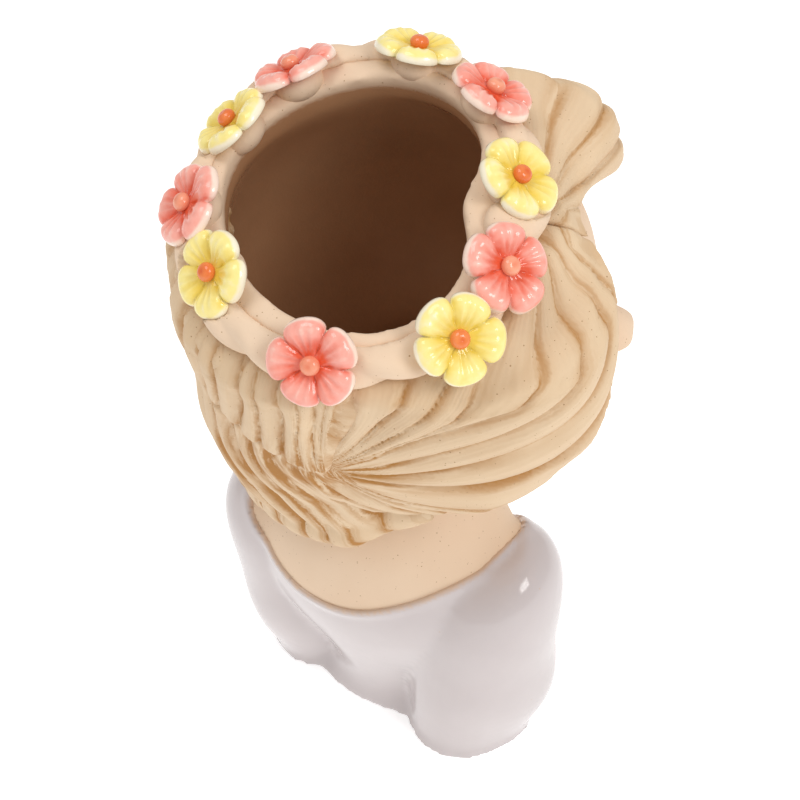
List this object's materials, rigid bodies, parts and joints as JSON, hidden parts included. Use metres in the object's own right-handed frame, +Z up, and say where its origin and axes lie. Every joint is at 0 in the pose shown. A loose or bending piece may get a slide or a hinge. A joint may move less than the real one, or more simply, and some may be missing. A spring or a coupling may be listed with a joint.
{
  "type": "head planter",
  "caption": "Hollow stoneware bust planter with the head open at the crown, a wreath of glazed flowers, waved hair, bare shoulders and a white glazed dress.",
  "frame": {"origin": "on the floor under the shoulders' axis, on the bust's flat base", "axes": "+Z up, -Y the way the face looks, -X the figure's right"},
  "size_m": [0.139, 0.1361, 0.2689],
  "materials": {
    "white_glaze": "gloss",
    "bare_stoneware": "matte",
    "washed_stoneware": "matte",
    "wreath_clay": "matte",
    "yellow_glaze": "gloss",
    "coral_glaze": "gloss",
    "orange_bead": "gloss",
    "pink_bead": "gloss"
  },
  "bodies": {
    "root": {"dress_front": "white_glaze", "dress_back": "white_glaze", "right_arm": "white_glaze", "left_arm": "white_glaze", "shoulder_yoke": "bare_stoneware", "head_front": "bare_stoneware", "head_back": "bare_stoneware", "hair_right_sweep": "washed_stoneware", "hair_left_sweep": "washed_stoneware", "hair_crown_back": "washed_stoneware", "hair_nape_roll": "washed_stoneware", "wreath_band": "wreath_clay", "flower_1": "yellow_glaze", "flower_bead_1": "orange_bead", "flower_2": "coral_glaze", "flower_bead_2": "pink_bead", "flower_3": "yellow_glaze", "flower_bead_3": "orange_bead", "flower_4": "coral_glaze", "flower_bead_4": "pink_bead", "flower_5": "yellow_glaze", "flower_bead_5": "orange_bead", "flower_6": "coral_glaze", "flower_bead_6": "pink_bead", "flower_7": "yellow_glaze", "flower_bead_7": "orange_bead", "flower_8": "coral_glaze", "flower_bead_8": "pink_bead", "flower_9": "yellow_glaze", "flower_bead_9": "orange_bead", "flower_10": "coral_glaze", "flower_bead_10": "pink_bead"}
  },
  "joints": []
}
